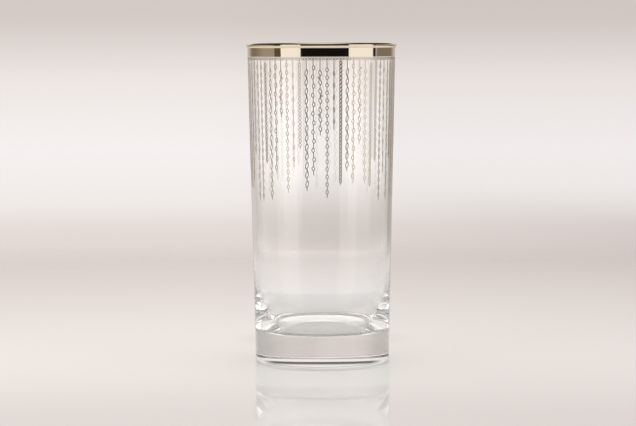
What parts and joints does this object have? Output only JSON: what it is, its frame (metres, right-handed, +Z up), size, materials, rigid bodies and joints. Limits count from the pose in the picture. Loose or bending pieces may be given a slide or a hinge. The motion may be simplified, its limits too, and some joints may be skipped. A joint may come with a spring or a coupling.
{
  "type": "tall tumbler",
  "caption": "Tall straight-sided clear glass tumbler with a heavy solid base, a bright metal band over the lip and a fringe of fine fired-on chain lines below it.",
  "frame": {"origin": "centre of the foot, on the surface that the glass stands on", "axes": "+Z up along the glass; the side seen first faces -Y and +X is to its right"},
  "size_m": [0.0706, 0.0706, 0.15],
  "materials": {
    "clear_glass": "clear polished glass",
    "fired_metal_band": "mirror-bright fired-on metal in a warm platinum tone",
    "fired_metal_lines": "bright fired-on metal, drawn in lines under half a millimetre wide"
  },
  "bodies": {
    "root": {"glass_body": "clear_glass", "rim_band": "fired_metal_band", "border_chain": "fired_metal_lines", "cable_chains": "fired_metal_lines", "wave_chains": "fired_metal_lines", "long_link_chains": "fired_metal_lines", "rope_chains": "fired_metal_lines", "round_link_chains": "fired_metal_lines", "curb_chains": "fired_metal_lines", "figure_chains": "fired_metal_lines"}
  },
  "joints": []
}
